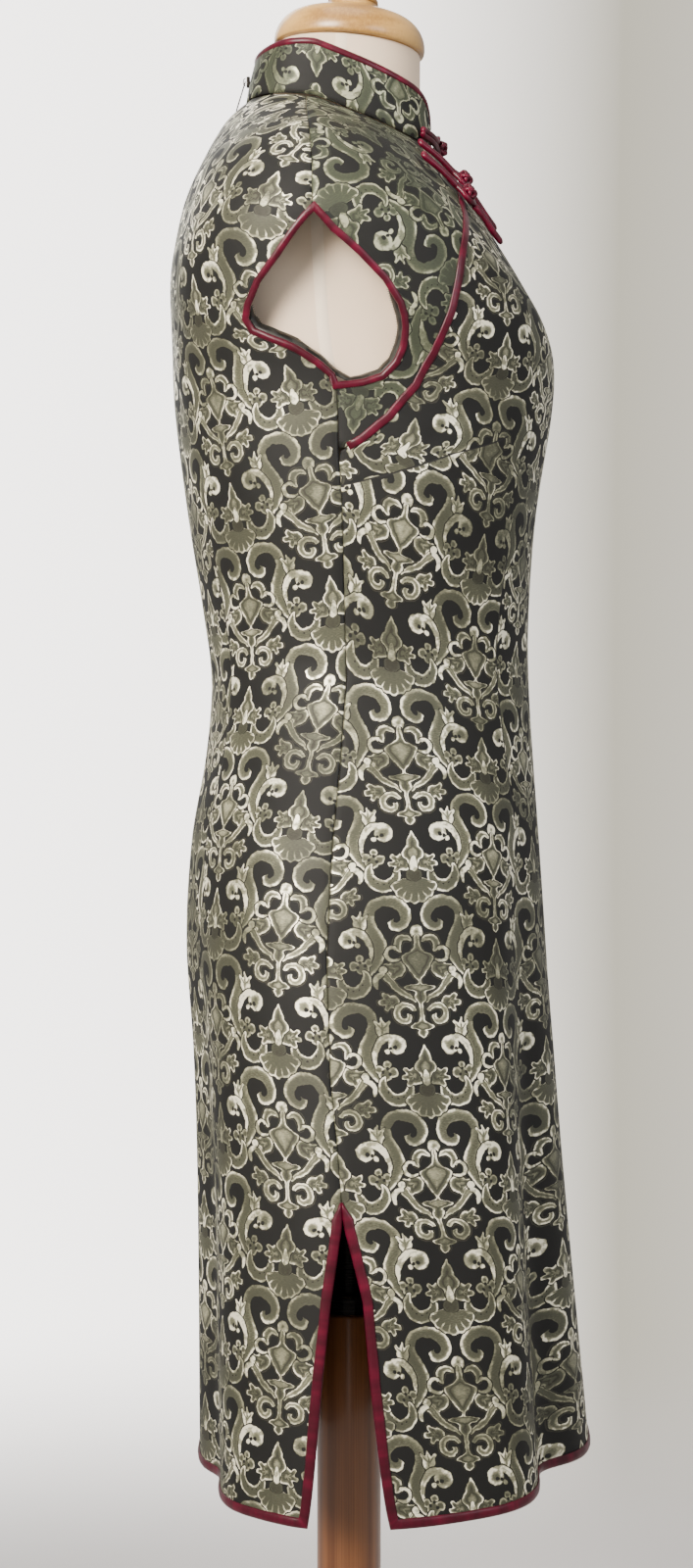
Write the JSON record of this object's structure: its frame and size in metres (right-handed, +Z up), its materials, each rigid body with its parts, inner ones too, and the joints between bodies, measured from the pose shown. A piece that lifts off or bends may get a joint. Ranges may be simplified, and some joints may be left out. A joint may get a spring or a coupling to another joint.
{
  "type": "cheongsam dress on a dress form with a stand",
  "caption": "Knee-length cap-sleeved cheongsam in figured brocade with satin bindings and knotted frogs, worn by a limbless dress form on a wooden pole stand.",
  "frame": {"origin": "on the floor, under the middle of the stand's round base", "axes": "+Z up; the wearer's front faces -Y and the wearer's right side faces -X"},
  "size_m": [0.4102, 0.4, 1.5257],
  "materials": {
    "brocade": "satin-faced brocade, charcoal with a sage and cream figure",
    "burgundy_satin": "burgundy satin, bias cut",
    "cream_jersey": "matt cream jersey stretched over the form",
    "lacquered_wood": "honey-coloured wood, clear gloss lacquer",
    "dark_steel": "dark satin steel"
  },
  "bodies": {
    "stand": {"stand_base": "lacquered_wood", "stand_pole": "lacquered_wood", "pole_ferrule": "dark_steel"},
    "form": {"form_torso": "cream_jersey", "neck_cap": "lacquered_wood", "neck_finial": "lacquered_wood", "stand_rod": "dark_steel", "front_panel": "brocade", "front_yoke": "brocade", "back_panel_right": "brocade", "back_panel_left": "brocade", "collar_right": "brocade", "collar_left": "brocade", "collar_binding_right": "burgundy_satin", "collar_binding_left": "burgundy_satin", "armhole_binding_right": "burgundy_satin", "armhole_binding_left": "burgundy_satin", "front_hem_binding": "burgundy_satin", "back_hem_binding": "burgundy_satin", "placket_binding": "burgundy_satin", "frog_collar_loop": "burgundy_satin", "frog_collar_tail": "burgundy_satin", "frog_collar_knot": "burgundy_satin", "frog_upper_loop": "burgundy_satin", "frog_upper_tail": "burgundy_satin", "frog_upper_knot": "burgundy_satin", "frog_lower_loop": "burgundy_satin", "frog_lower_tail": "burgundy_satin", "frog_lower_knot": "burgundy_satin", "zip_chain": "dark_steel", "zip_slider": "dark_steel", "zip_bridge": "dark_steel"},
    "zip_tab": {"zip_pull_tab": "dark_steel"}
  },
  "joints": [
    {"name": "stand_height", "type": "slide", "parent": "stand", "child": "form", "axis": [0, 0, 1], "range_m": [-0.06, 0.08]},
    {"name": "zip_tab_swing", "type": "hinge", "parent": "form", "child": "zip_tab", "pos_m": [0, 0.0763, 1.4402], "axis": [1, 0, 0], "range_deg": [0, 140]}
  ]
}
